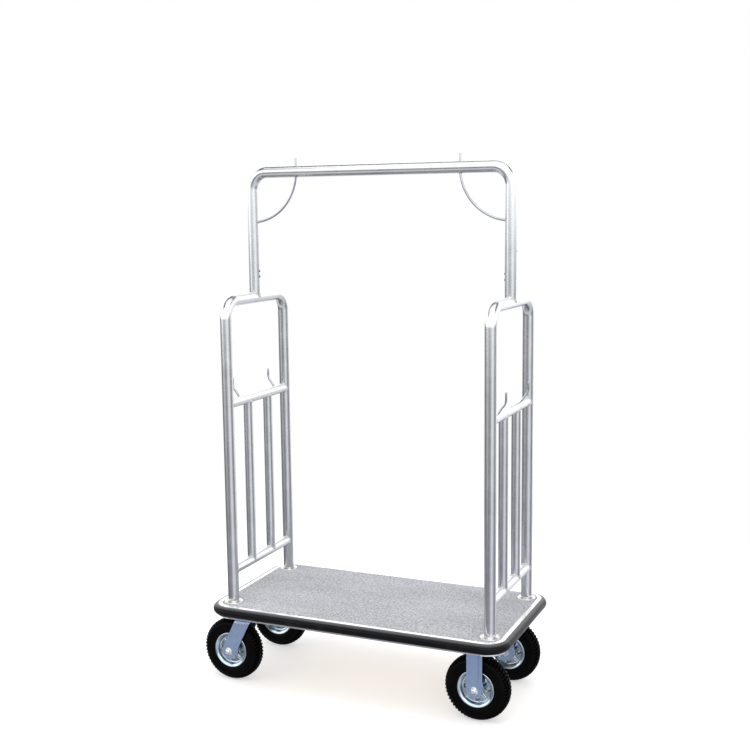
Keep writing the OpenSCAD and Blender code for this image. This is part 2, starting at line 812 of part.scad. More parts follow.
at_wheel(rigid_x, FRONT) rim_half();  // rim_outer_right_front
at_wheel(rigid_x, BACK) rim_half();  // rim_outer_right_back
at_wheel(swivel_axle_x, FRONT) mirror([0, 0, 1]) rim_half();  // rim_inner_left_front
at_wheel(swivel_axle_x, BACK) mirror([0, 0, 1]) rim_half();  // rim_inner_left_back
at_wheel(rigid_x, FRONT) mirror([0, 0, 1]) rim_half();  // rim_inner_right_front
at_wheel(rigid_x, BACK) mirror([0, 0, 1]) rim_half();  // rim_inner_right_back
at_wheel(swivel_axle_x, FRONT) hub();  // hub_left_front
at_wheel(swivel_axle_x, BACK) hub();  // hub_left_back
at_wheel(rigid_x, FRONT) hub();  // hub_right_front
at_wheel(rigid_x, BACK) hub();  // hub_right_back
at_wheel(swivel_axle_x, FRONT) rim_bolts();  // rim_bolts_left_front
at_wheel(swivel_axle_x, BACK) rim_bolts();  // rim_bolts_left_back
at_wheel(rigid_x, FRONT) rim_bolts();  // rim_bolts_right_front
at_wheel(rigid_x, BACK) rim_bolts();  // rim_bolts_right_back
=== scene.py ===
"""Looks of a hotel luggage cart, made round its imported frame.

Every new piece is a surface worked out with numpy in the frame's own metres, and every
CAD part keeps its shape and gets a procedural material.
"""

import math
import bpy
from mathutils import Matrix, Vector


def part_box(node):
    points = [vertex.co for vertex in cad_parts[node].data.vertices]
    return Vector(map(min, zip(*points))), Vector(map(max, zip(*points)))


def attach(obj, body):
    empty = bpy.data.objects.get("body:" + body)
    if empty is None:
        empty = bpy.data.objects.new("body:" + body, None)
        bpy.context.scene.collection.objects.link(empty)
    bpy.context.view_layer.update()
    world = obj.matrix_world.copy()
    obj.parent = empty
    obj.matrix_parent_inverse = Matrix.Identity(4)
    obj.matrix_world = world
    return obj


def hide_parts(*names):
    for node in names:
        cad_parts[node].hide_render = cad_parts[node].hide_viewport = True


bl_info = {
    "name": "Hotel Luggage Cart",
    "version": (1, 0, 0),
    "blender": (4, 5, 0),
    "location": "3D View > Sidebar > Luggage Cart",
    "description": "Builds the looks of a hotel luggage cart round its frame",
    "category": "Object",
}

from types import SimpleNamespace

import bmesh
import bpy
import numpy as np
from bpy.props import FloatProperty, FloatVectorProperty, IntProperty, PointerProperty
from mathutils import Matrix, Vector

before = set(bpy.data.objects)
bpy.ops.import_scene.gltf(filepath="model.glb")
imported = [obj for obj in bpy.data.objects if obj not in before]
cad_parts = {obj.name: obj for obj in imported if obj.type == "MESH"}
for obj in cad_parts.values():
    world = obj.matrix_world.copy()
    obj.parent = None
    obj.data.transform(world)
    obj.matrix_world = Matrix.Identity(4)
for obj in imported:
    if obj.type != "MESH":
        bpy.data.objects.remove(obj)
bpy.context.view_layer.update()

SIDES = {"left": -1, "right": 1}
ENDS = {"front": -1, "back": 1}
CORNERS = [(side, end) for side in SIDES for end in ENDS]
TAU = 2 * math.pi
MM = 0.001
HAIR = 1e-6


# ---------- shader maths ----------


def math_node(operation, swapped=False):
    """An operator that adds a Math node, with its inputs swapped for the reflected form."""

    def act(self, other=0.0):
        first, second = (other, self) if swapped else (self, other)
        return self.graph.node("Math", {0: first, 1: second}, operation=operation)

    return act


class Value:
    """A socket that takes part in arithmetic: each operator adds the Math node it names."""

    def __init__(self, graph, socket):
        self.graph = graph
        self.socket = socket

    __add__, __radd__ = math_node("ADD"), math_node("ADD", True)
    __sub__, __rsub__ = math_node("SUBTRACT"), math_node("SUBTRACT", True)
    __mul__, __rmul__ = math_node("MULTIPLY"), math_node("MULTIPLY", True)
    sine = math_node("SINE")


class Graph:
    """The node tree of one new material, with its Principled shader and output in place."""

    def __init__(self, name=None, tree=None):
        self.tree = tree
        if tree is None:
            self.material = bpy.data.materials.new(name)
            self.material.use_nodes = True
            self.tree = self.material.node_tree
            self.tree.nodes.clear()
            self.shader = self.node("BsdfPrincipled", output=None)
            output = self.node("OutputMaterial", output=None)
            self.tree.links.new(self.shader.outputs[0], output.inputs[0])

    def put(self, target, value):
        """Links a Value to a socket, or sets the socket to a number or colour."""
        if isinstance(value, Value):
            self.tree.links.new(value.socket, target)
        else:
            target.default_value = value

    def node(self, kind, sockets=None, output=0, stops=None, **settings):
        """Adds a node: settings and ramp stops first, then its sockets; returns one output."""
        made = self.tree.nodes.new("ShaderNode" + kind)
        for key, value in settings.items():
            setattr(made, key, value)
        if stops:
            ramp = made.color_ramp.elements
            while len(ramp) < len(stops):
                ramp.new(1.0)
            for element, (place, colour) in zip(ramp, stops):
                element.position = place
                element.color = colour
        for key, value in (sockets or {}).items():
            self.put(made.inputs[key], value)
        return made if output is None else Value(self, made.outputs[output])

    def place(self, scale=(1, 1, 1)):
        """Object coordinates in metres, stretched by scale."""
        spot = self.node("TexCoord", output="Object")
        return self.node("Mapping", {"Vector": spot, "Scale": scale})

    def noise(self, size, detail=3.0, stretch=(1, 1, 1), roughness=0.5):
        """Noise whose blotches are about size metres across, times stretch."""
        spot = self.place([1 / (size * s) for s in stretch])
        sockets = {"Vector": spot, "Scale": 1.0, "Detail": detail, "Roughness": roughness}
        return self.node("TexNoise", sockets)

    def cells(self, size):
        """Distance to the nearest of scattered points about size metres apart."""
        spot = self.place([1 / size] * 3)
        return self.node("TexVoronoi", {"Vector": spot, "Scale": 1.0})

    def ramp(self, value, low, high, start=0.0, end=1.0):
        """Value remapped from low..high to start..end, and held there."""
        sockets = {0: value, 1: low, 2: high, 3: start, 4: end}
        return self.node("MapRange", sockets, clamp=True)

    def mix(self, factor, a, b):
        """Colour a at factor 0 and colour b at factor 1."""
        return self.node("Mix", {0: factor, 6: a, 7: b}, output=2, data_type="RGBA")

    def bump(self, height, depth, strength=1.0):
        """Normal of a surface with the given height, depth metres deep."""
        sockets = {"Height": height, "Distance": depth, "Strength": strength}
        return self.node("Bump", sockets)

    def finish(self, **sockets):
        """Sets the shader's sockets by name, with _ for a space, and returns the material."""
        for key, value in sockets.items():
            self.put(self.shader.inputs[key.replace("_", " ")], value)
        return self.material


def shade(colour, factor):
    """An RGB colour made darker or lighter by factor, with full alpha."""
    return (colour[0] * factor, colour[1] * factor, colour[2] * factor, 1.0)


# ---------- materials ----------


def satin_steel(name, tint, roughness):
    """Satin stainless steel: a fine even grain, soft haze and faint handling marks."""
    g = Graph(name)
    lines = g.noise(0.0005, 2.0)
    haze = g.noise(0.05, 4.0)
    marks = g.noise(0.0016, 3.0, (1, 1, 6))
    rough = roughness + 0.07 * (lines - 0.5) + 0.08 * (haze - 0.5) + 0.04 * (marks - 0.5)
    height = lines * 0.6 + marks * 0.4
    return g.finish(
        Base_Color=g.mix(g.ramp(haze, 0.35, 0.7), shade(tint, 0.94), shade(tint, 1.04)),
        Metallic=1.0,
        Roughness=rough,
        Normal=g.bump(height, 0.000012),
    )


def weld_steel(name, tint):
    """Weld bead: dull bright metal with a straw and blue heat tint in patches."""
    g = Graph(name)
    heat = g.noise(0.006, 3.0)
    colour = g.mix(g.ramp(heat, 0.45, 0.75), shade(tint, 0.9), (0.50, 0.44, 0.36, 1.0))
    return g.finish(Base_Color=colour, Metallic=1.0, Roughness=0.34 + 0.12 * heat,
                    Normal=g.bump(heat, 0.0001))


def zinc_plate(name, tint, roughness, metal=1.0):
    """Blue bright zinc: small crystal spangle, soft iridescent patches and dull spots."""
    g = Graph(name)
    patch = g.noise(0.018, 4.0)
    spangle = g.cells(0.0035)
    spots = g.ramp(g.noise(0.0022, 4.0), 0.62, 0.74)
    warm = (tint[0] * 1.08, tint[1] * 1.02, tint[2] * 0.9, 1.0)
    colour = g.mix(g.ramp(patch, 0.35, 0.7), shade(tint, 0.92), warm)
    colour = g.mix(spots * 0.5, colour, shade(tint, 0.6))
    return g.finish(
        Base_Color=colour,
        Metallic=metal,
        Roughness=roughness + 0.10 * (patch - 0.5) + 0.05 * spangle + 0.16 * spots,
        Normal=g.bump(patch * 0.5 + spangle * 0.25 + spots * 0.2, 0.00012),
    )


def black_rubber(name, colour, roughness, dust, shine, painted_top_highlight=0.0):
    """Moulded rubber: fine orange-peel, soft scuffs that lighten it by dust, and a painted
    highlight:
    on the faces that look up the colour is mixed towards a light grey, in place of the light they
    catch."""
    g = Graph(name)
    peel = g.noise(0.0009, 3.0)
    scuff = g.noise(0.03, 6.0, (1, 1, 2))
    streak = g.ramp(scuff, 0.52, 0.72)
    tone = g.mix(streak * dust, shade(colour, 1.0), shade(colour, 3.2))
    # Painted highlight: faces that look up get a lighter grey colour, standing in for the light
    # they catch.
    if painted_top_highlight:
        facing = g.node("TexCoord", output="Normal")
        up = g.node("SeparateXYZ", {0: facing}, output=2)
        tone = g.mix(g.ramp(up, 0.62, 1.0), tone, (painted_top_highlight, painted_top_highlight, 1.08 * painted_top_highlight, 1))
    return g.finish(
        Base_Color=tone,
        Roughness=roughness + 0.12 * streak + 0.06 * (peel - 0.5),
        Specular_IOR_Level=shine,
        Normal=g.bump(peel, 0.00006),
    )


def loop_carpet(name, colour):
    """Heather loop pile: dark, mid and pale yarns in small flecks, with faint tracks."""
    g = Graph(name)
    fleck = g.noise(0.0068, 5.0, roughness=0.8)
    yarn = g.cells(0.0026)
    track = g.noise(0.11, 3.0, (2.4, 1, 1))
    tone = g.node(
        "ValToRGB",
        {0: fleck + 0.13 * (track - 0.5) + 0.10 * (yarn - 0.4)},
        stops=[
            (0.40, shade(colour, 0.52)),
            (0.47, shade(colour, 0.85)),
            (0.53, shade(colour, 1.08)),
            (0.60, shade(colour, 1.38)),
        ],
    )
    return g.finish(
        Base_Color=tone,
        Roughness=0.94,
        Sheen_Weight=0.25,
        Sheen_Roughness=0.5,
        Normal=g.bump(fleck * 0.5 + (1 - yarn) * 0.5, 0.0012, 0.8),
    )


def plywood(name, colour):
    """Sealed plywood: long grain on the faces and plies in layers on the edge."""
    g = Graph(name)
    grain = g.noise(0.004, 6.0, (14, 1, 1))
    broad = g.noise(0.05, 3.0, (5, 1, 1))
    height = g.node("SeparateXYZ", {0: g.place()}, output=2)
    plies = (height * (TAU / 0.003)).sine()
    tone = g.mix(g.ramp(grain + 0.4 * broad, 0.45, 0.95), shade(colour, 1.1), shade(colour, 0.62))
    tone = g.mix(g.ramp(plies, 0.0, 1.0) * 0.35, tone, shade(colour, 0.45))
    return g.finish(Base_Color=tone, Roughness=0.52 + 0.2 * grain, Normal=g.bump(grain, 0.0003))


def black_paint(name, colour):
    """Satin black paint on steel, with a light texture and chips that show metal."""
    g = Graph(name)
    peel = g.noise(0.002, 2.0)
    chips = g.ramp(g.noise(0.006, 6.0), 0.70, 0.74)
    return g.finish(
        Base_Color=g.mix(chips, shade(colour, 1.0), (0.32, 0.31, 0.30, 1.0)),
        Metallic=chips * 0.8,
        Roughness=0.42 + 0.1 * peel,
        Normal=g.bump(peel - chips * 0.5, 0.00012),
    )


def pale_floor(name, colour, radius):
    """Matt studio floor with a barely visible unevenness, clear at its rim."""
    g = Graph(name)
    cloud = g.noise(0.7, 3.0)
    reach = g.node("VectorMath", {0: g.place()}, output=1, operation="LENGTH")
    return g.finish(
        Base_Color=g.mix(cloud, shade(colour, 0.985), shade(colour, 1.0)),
        Roughness=0.75,
        Specular_IOR_Level=0.1,
        Emission_Color=(1.0, 1.0, 1.0, 1.0),
        Emission_Strength=0.5,
        Alpha=g.ramp(reach, 0.55 * radius, 0.98 * radius, 1.0, 0.0),
    )


FINISHES = {}


def material(name, maker, *values):
    """The named finish, made the first time it is asked for."""
    if name not in FINISHES:
        FINISHES[name] = maker(name, *values)
    return FINISHES[name]


def put_in_scene(name, data):
    """A new object for the data, at the origin."""
    made = bpy.data.objects.new(name, data)
    bpy.context.scene.collection.objects.link(made)
    return made


def dress(node, finish):
    """Puts one material on a CAD node."""
    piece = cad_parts[node]
    for slot in piece.material_slots:
        slot.link = "DATA"
    piece.data.materials.clear()
    piece.data.materials.append(finish)


def modify(node, kind, **settings):
    """Joins a CAD node's loose triangles, then adds a modifier, on top of its own mesh."""
    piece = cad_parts[node]
    weld = piece.modifiers.new("join", "WELD")
    weld.merge_threshold = HAIR
    edge = piece.modifiers.new("edge", kind)
    for key, value in settings.items():
        setattr(edge, key, value)


def smooth_node(node):
    """Shades a CAD node smooth but for its edges."""
    modify(node, "EDGE_SPLIT", split_angle=math.radians(35))


def soften(node, width, angle=40):
    """Rounds a CAD node's edges by width metres."""
    modify(node, "BEVEL", width=width, segments=2, limit_method="ANGLE",
           angle_limit=math.radians(angle))


# ---------- surfaces ----------


class Shell:
    """Points and faces of one piece, gathered from grids before the mesh is made."""

    def __init__(self):
        self.points = []
        self.faces = []
        self.count = 0

    def grid(self, points, loop_u=False, loop_v=False):
        """Adds an n by m grid of points, closed along either direction if asked."""
        rows, columns = points.shape[:2]
        index = np.arange(rows * columns).reshape(rows, columns) + self.count
        if loop_u:
            index = np.vstack([index, index[:1]])
        if loop_v:
            index = np.hstack([index, index[:, :1]])
        quads = np.stack([index[:-1, :-1], index[1:, :-1], index[1:, 1:], index[:-1, 1:]], -1)
        self.points.append(points.reshape(-1, 3))
        self.faces.append(quads.reshape(-1, 4))
        self.count += rows * columns
        return self

    def ring(self, points):
        """Adds a grid closed along its first direction."""
        return self.grid(points, loop_u=True)

    def torus(self, points):
        """Adds a grid closed along both directions."""
        return self.grid(points, loop_u=True, loop_v=True)

    def mesh(self, name, finish):
        """The mesh of all grids, with its material."""
        made = bpy.data.meshes.new(name)
        made.from_pydata(np.concatenate(self.points), [], np.concatenate(self.faces))
        made.materials.append(finish)
        return made

    def piece(self, name, body, slot, finish, replaces=(), crease=40):
        """Makes the object: doubles merged, poles closed, faces turned outwards, edges creased."""
        mesh = self.mesh(name, finish)
        work = bmesh.new()
        work.from_mesh(mesh)
        bmesh.ops.remove_doubles(work, verts=work.verts, dist=HAIR)
        bmesh.ops.dissolve_degenerate(work, edges=work.edges, dist=HAIR)
        bmesh.ops.recalc_face_normals(work, faces=work.faces)
        work.to_mesh(mesh)
        work.free()
        mesh.shade_smooth()
        mesh.set_sharp_from_angle(angle=math.radians(crease))
        made = put_in_scene(name, mesh)
        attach(made, body)
        if replaces:
            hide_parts(*replaces)
        return made


def turns(count):
    """Angles of count equal steps round a circle."""
    return np.arange(count) * TAU / count


def along(parts, centre, axis, flip=1):
    """A shape drawn about Z as points at centre, about an axis, and turned over by flip."""
    a, b, rise = parts
    rise = flip * rise
    order = {"x": (rise, a, b), "y": (b, rise, a), "z": (a, b, rise)}[axis]
    return np.stack(order, -1) + np.asarray(centre, float)


def lathe(profile, steps=64, centre=(0, 0, 0), axis="z", flip=1):
    """Profile of (radius, height) pairs turned about a line through centre along an axis."""
    radius, height = np.asarray(profile, float).T
    angle = turns(steps)[:, None]
    a, b = radius * np.cos(angle), radius * np.sin(angle)
    return along((a, b, np.broadcast_to(height, a.shape)), centre, axis, flip)


def arc(centre_r, centre_z, radius, start, end, steps=8):
    """Points of an arc in a profile, angles in degrees from the outward direction."""
    angle = np.radians(np.linspace(start, end, steps))
    return list(zip(centre_r + radius * np.cos(angle), centre_z + radius * np.sin(angle)))


def unit(rows):
    """Rows of vectors, each made 1 long."""
    return rows / np.linalg.norm(rows, axis=1, keepdims=True)


def smooth(value, low, high):
    """Rises from 0 at low to 1 at high with level ends."""
    t = np.clip((value - low) / (high - low), 0, 1)
    return t * t * (3 - 2 * t)


def six_sided(angle):
    """Radius of a hexagon whose corners are 1 from its middle: cos 30 / cos(angle from the
    nearest flat)."""
    return math.cos(math.pi / 6) / np.cos((angle + math.pi / 6) % (math.pi / 3) - math.pi / 6)


def hexagon(size, low, high, chamfer, steps=72):
    """Grid of a hexagonal nut about Z, cut by a cone at both ends and closed over both faces."""
    angle = turns(steps)[:, None]
    inner = size * math.cos(math.pi / 6) * 0.98
    height = np.array([low, low, low + chamfer, high - chamfer, high, high])
    limit = np.array([0, inner, size, size, inner, 0])
    radius = np.minimum(size * six_sided(angle), limit)
    return radius * np.cos(angle), radius * np.sin(angle), np.broadcast_to(height, radius.shape)


def sweep(path, radius, binormal, sides=16):
    """Rod of the given radius along a flat path: at each point a circle across the path, in the
    plane of the binormal and (binormal x tangent); flat at its start, round at its end."""
    path = np.asarray(path, float)
    tangent = unit(np.gradient(path, axis=0))
    across = np.cross(binormal, tangent)
    size = np.full(len(path), float(radius))
    bend = np.radians(np.linspace(0, 90, 6))[1:]
    path = np.vstack([path, path[-1] + tangent[-1] * radius * np.sin(bend)[:, None]])
    size = np.concatenate([size, radius * np.cos(bend)])
    across = np.vstack([across, np.repeat(across[-1:], len(bend), 0)])
    path = np.vstack([path[:1], path, path[-1:]])
    size = np.concatenate([[0], size, [0]])
    across = np.vstack([across[:1], across, across[-1:]])
    angle = turns(sides)[:, None, None]
    ring = np.cos(angle) * across + np.sin(angle) * np.asarray(binormal, float)
    return path + ring * size[:, None]


def weld_ring(centre, way, tube_axis, rod, tube, bead, steps=84, sides=8):
    """Bead where a rod of radius rod runs along way into a round tube: its middle line is
    centre + rod cos a * tube_axis + rod sin a * cross + way * sqrt(tube^2 - (rod sin a)^2),
    and its radius ripples as each drop of the weld lies on the last."""
    way, tube_axis = np.asarray(way, float), np.asarray(tube_axis, float)
    cross = np.cross(way, tube_axis)
    angle = turns(steps)[:, None]
    rise = np.sqrt(np.maximum(tube**2 - (rod * np.sin(angle)) ** 2, (0.12 * tube) ** 2))
    line = centre + rod * np.cos(angle) * tube_axis + rod * np.sin(angle) * cross + rise * way
    tangent = unit(np.roll(line, -1, 0) - np.roll(line, 1, 0))
    out = np.cos(angle) * tube_axis + np.sin(angle) * cross + 0.4 * way
    out = unit(out - (out * tangent).sum(1, keepdims=True) * tangent)
    side = np.cross(tangent, out)
    drops = max(10, round(TAU * rod / (1.6 * bead)))
    size = bead * (1 + 0.16 * np.abs(np.sin(angle * drops / 2)) - 0.08)
    round_way = turns(sides)
    ring = out[:, None] * np.cos(round_way)[:, None] + side[:, None] * np.sin(round_way)[:, None]
    return line[:, None] + ring * size[:, None]


def span(node):
    """Lowest corner, highest corner and centre of a CAD node's box, as arrays."""
    low, high = (np.array(corner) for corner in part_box(node))
    return low, high, (low + high) / 2


# ---------- settings ----------


def colour(name, description, default):
    """A setting for a colour."""
    return FloatVectorProperty(
        name=name, description=description, subtype="COLOR", size=3, min=0, max=1,
        default=default,
    )


def length(name, description, low, high, default):
    """A setting for a length in metres between two limits."""
    return FloatProperty(
        name=name, description=description, unit="LENGTH", min=low, max=high, default=default,
    )


class CartTubeSettings(bpy.types.PropertyGroup):
    """Finish of the frame tubes and size of the weld beads."""

    tint: colour("Steel tint", "Colour of the stainless tubes", (0.59, 0.598, 0.615))
    roughness: FloatProperty(
        name="Roughness", description="How matt the brushed tubes are", subtype="FACTOR",
        min=0, max=1, default=0.21,
    )
    weld_radius: length("Weld bead", "Radius of the weld beads", 0.0005, 0.006, 0.0021)


class CartDeckSettings(bpy.types.PropertyGroup):
    """Carpet, bumper and metal edge of the deck."""

    carpet_colour: colour("Carpet", "Mid colour of the carpet yarns", (0.56, 0.572, 0.615))
    pile: length("Pile", "Height of a loop above the backing", 0.0002, 0.004, 0.0013)
    rubber_colour: colour("Bumper", "Colour of the bumper rubber", (0.0035, 0.0035, 0.005))
    edge_tint: colour("Edge tint", "Colour of the bright metal edge", (0.74, 0.74, 0.73))


class CartWheelSettings(bpy.types.PropertyGroup):
    """Tyres, rims and forks."""

    lugs: IntProperty(
        name="Lugs", description="Tread lugs on each shoulder of a tyre",
        min=12, max=80, default=54,
    )
    tread_depth: length("Tread depth", "Depth of the grooves at the shoulder",
                        0.0005, 0.008, 0.0058)
    tyre_colour: colour("Tyre", "Colour of the tyre rubber", (0.0011, 0.0011, 0.0013))
    fork_tint: colour("Fork tint", "Colour of the zinc on plates and forks", (0.28, 0.38, 0.60))
    zinc_tint: colour("Rim tint", "Colour of the zinc on the rims", (0.43, 0.52, 0.61))
    sheet: length("Rim sheet", "Thickness of the pressed rim", 0.0005, 0.004, 0.0022)


class CartStageSettings(bpy.types.PropertyGroup):
    """Floor, lights and camera."""

    floor_colour: colour("Floor", "Colour of the studio floor", (0.93, 0.93, 0.93))
    key_power: FloatProperty(
        name="Overhead light", description="Power of the overhead soft light", unit="POWER",
        min=0, default=80,
    )
    lens: FloatProperty(
        name="Lens", description="Focal length of the camera", unit="CAMERA",
        min=10, default=55.75,
    )


# Tint and roughness of the metals that have no setting of their own.
ROD_STEEL = (0.36, 0.37, 0.40), 0.2
FLANGE_STEEL = (0.69, 0.68, 0.65), 0.30
SCREW_ZINC = (0.52, 0.54, 0.58), 0.30
DARK_SCREW = (0.20, 0.20, 0.21), 0.35
AXLE_ZINC = (0.74, 0.78, 0.84), 0.17
HUB_ZINC = (0.62, 0.66, 0.72), 0.24

EDGE_ROUGHNESS = 0.2
FORK_ROUGHNESS, FORK_METAL = 0.36, 0.72
RIM_ROUGHNESS = 0.11
BOARD_TINT = (0.45, 0.32, 0.19)
PAINT_TINT = (0.02, 0.02, 0.022)

# Roughness, dust, shine and painted top highlight (a light grey mixed into upward faces) of the two
# rubbers.
BUMPER_RUBBER = 0.30, 0.6, 0.1, 0.17
TYRE_RUBBER = 0.38, 0.5, 0.04


# ---------- stage ----------


# Brightness of the studio in reflections, by compass angle in degrees from +X: the walls at
# eye level, and the walls and floor lower down.
STUDIO_WALLS = [
    (-180, 0.22), (-166, 0.26), (-146, 0.64), (-122, 0.72), (-104, 0.34), (-87, 0.28),
    (-70, 0.48), (-54, 0.96), (-37, 1.28), (-18, 1.05), (0, 0.50), (18, 0.28),
    (32, 0.55), (56, 1.20), (78, 1.55), (104, 1.30), (140, 0.50), (180, 0.22),
]
STUDIO_LOW = [
    (-180, 0.20), (-140, 0.24), (-104, 0.26), (-87, 0.42), (-70, 0.70), (-54, 0.98),
    (-37, 1.02), (-18, 0.70), (0, 0.34), (18, 0.26), (36, 0.55), (60, 0.95),
    (84, 1.10), (110, 1.00), (144, 0.45), (180, 0.20),
]
# Its other colours in reflections, and the strength of the surround as light.
STRAIGHT_BELOW = (0.12, 0.12, 0.14, 1)
FLOOR_AROUND = (0.95, 0.96, 0.99, 1)
CEILING_BACK = (0.16, 0.16, 0.17, 1)
CEILING_PANEL = (2.2, 2.2, 2.2, 1)
CEILING_TOP = (1.9, 1.9, 1.9, 1)
WHITE = (1, 1, 1, 1)
SURROUND_LIGHT = 0.62


def compass_walls(g, compass, table, blue):
    """Brightness round the compass as a colour, with blue times as much blue."""
    return g.node(
        "ValToRGB", {0: compass},
        stops=[((angle + 180) / 360, (glow, glow, glow * blue, 1)) for angle, glow in table],
    )


def studio_world():
    """A studio surround: white to the eye, soft grey as light; in reflections it has walls, a
    ceiling whose front half is a bright panel, and a floor that is dark straight below."""
    world = bpy.data.worlds.new("studio")
    bpy.context.scene.world = world
    world.use_nodes = True
    world.node_tree.nodes.clear()
    g = Graph(tree=world.node_tree)
    way = g.node("TexCoord", output="Generated")
    parts = g.node("SeparateXYZ", {0: way}, output=None)
    x, y, rise = (Value(g, parts.outputs[i]) for i in range(3))
    compass = g.node("Math", {0: y, 1: x}, operation="ARCTAN2") * (1 / TAU) + 0.5
    walls = compass_walls(g, compass, STUDIO_WALLS, 1.02)
    low = compass_walls(g, compass, STUDIO_LOW, 1.14)
    floor = g.mix(g.ramp(rise, -0.97, -0.68), STRAIGHT_BELOW, FLOOR_AROUND)
    low = g.mix(g.ramp(rise, -0.47, -0.36), floor, low)
    room = g.mix(g.ramp(rise, -0.29, -0.19), low, walls)
    front = x * 0.4 - y * 0.916
    ceiling = g.mix(g.ramp(front, 0.20, 0.50), CEILING_BACK, CEILING_PANEL)
    ceiling = g.mix(g.ramp(rise, 0.5, 0.72), CEILING_TOP, ceiling)
    room = g.mix(g.ramp(rise, -0.04, 0.02), room, ceiling)
    white = g.node("Background", {"Color": WHITE, "Strength": 1.0})
    soft = g.node("Background", {"Color": WHITE, "Strength": SURROUND_LIGHT})
    mirror = g.node("Background", {"Color": room, "Strength": 1.0})
    seen = g.node("LightPath", output="Is Camera Ray")
    gloss = g.node("LightPath", output="Is Glossy Ray")
    light = g.node("MixShader", {0: gloss, 1: soft, 2: mirror})
    final = g.node("MixShader", {0: seen, 1: light, 2: white})
    g.node("OutputWorld", {0: final}, output=None)


def soft_light(name, spot, aim, width, height, power):
    """A rectangular soft light at spot, turned to face aim."""
    lamp = bpy.data.lights.new(name, "AREA")
    lamp.shape = "RECTANGLE"
    lamp.size = width
    lamp.size_y = height
    lamp.energy = power
    holder = put_in_scene(name, lamp)
    holder.location = spot
    holder.rotation_euler = (Vector(aim) - Vector(spot)).to_track_quat("-Z", "Y").to_euler()


class CART_OT_stage(bpy.types.Operator):
    """Make the floor, the soft lights, the surround and the camera"""

    bl_idname = "cart.stage"
    bl_label = "Stage"

    floor_radius = 2.4
    lamps = (
        # name, spot, aim, width, height, share of the power
        ("top", (0.3, -0.6, 4.4), (0, 0, 0), 4.5, 3.5, 1),
        ("key", (2.6, -3.6, 2.8), (0, 0, 0.8), 1.6, 1.6, 0.18),
        ("fill", (-3.6, -2.6, 2.0), (0, 0, 0.8), 1.2, 2.4, 0.12),
    )
    camera_spot = (1.540, -3.551, 1.6235)
    heading = 0.4116
    tilt = -0.1407
    lean = -0.0113

    def execute(self, context):
        look = context.scene.cart_stage
        studio_world()
        self.floor(look)
        self.lights(look)
        self.camera(context, look)
        context.scene.view_settings.view_transform = "Standard"
        return {"FINISHED"}

    def floor(self, look):
        """A flat disc of floor under the wheels that fades into the white surround."""
        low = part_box("tyre_right_front")[0][2] - 0.5 * MM
        rings = lathe([(0, low), (0.6, low), (1.2, low), (self.floor_radius, low)], 96)
        finish = material("floor", pale_floor, look.floor_colour, self.floor_radius)
        floor = put_in_scene("floor", Shell().ring(rings).mesh("floor", finish))
        floor.visible_glossy = False

    def lights(self, look):
        """A wide soft light overhead, a key from the front right and a fill from the left."""
        for *lamp, share in self.lamps:
            soft_light(*lamp, share * look.key_power)

    def camera(self, context, look):
        """A camera from its spot, heading, tilt and lean, all in radians."""
        lens = bpy.data.cameras.new("camera")
        lens.lens = look.lens
        lens.sensor_width = 36
        lens.clip_end = 200
        eye = put_in_scene("camera", lens)
        turn = Matrix.Rotation(self.heading, 4, "Z")
        pitch = Matrix.Rotation(math.pi / 2 + self.tilt, 4, "X")
        roll = Matrix.Rotation(self.lean, 4, "Z")
        eye.matrix_world = Matrix.Translation(self.camera_spot) @ turn @ pitch @ roll
        context.scene.camera = eye


# ---------- frame tubes, hooks and welds ----------


TUBE_PARTS = ("end_frame", "upper_rail", "lower_rail", "spigot")
TUBE_NODES = [
    *(f"{part}_{side}" for part in TUBE_PARTS for side in SIDES),
    *(f"bar_{side}_{end}" for side, end in CORNERS),
    "garment_arch",
]


def measures():
    """Levels and radii of the frame, read from the CAD nodes' boxes."""
    arch_low, arch_high, _ = span("garment_arch")
    frame_low, frame_high, frame_mid = span("end_frame_right")
    bar_low, bar_high, bar_mid = span("bar_right_front")
    tube = (frame_high[0] - frame_low[0]) / 2
    return SimpleNamespace(
        tube=tube,
        bar=(bar_high[0] - bar_low[0]) / 2,
        post_x=frame_mid[0],
        post_y=frame_high[1] - tube,
        bar_y=-bar_mid[1],
        hoop_z=frame_high[2] - tube,
        arch_z=arch_high[2] - tube,
        seam_z=arch_low[2],
        upper_z=span("upper_rail_right")[2][2],
        lower_z=span("lower_rail_right")[2][2],
    )


def brace_measures(side, m):
    """A corner brace's rod radius, its peg's distance from the middle, its reach and its top."""
    low, high, _ = span(f"brace_{side}")
    rod = (high[1] - low[1]) / 2
    inner = min(abs(low[0]), abs(high[0])) + rod
    return rod, inner, m.post_x - inner, high[2]


class CART_OT_tubes(bpy.types.Operator):
    """Give the tubes their brushed steel"""

    bl_idname = "cart.tubes"
    bl_label = "Tubes"

    def execute(self, context):
        look = context.scene.cart_tubes
        steel = material("brushed_steel", satin_steel, look.tint, look.roughness)
        for node in TUBE_NODES:
            dress(node, steel)
            smooth_node(node)
        return {"FINISHED"}


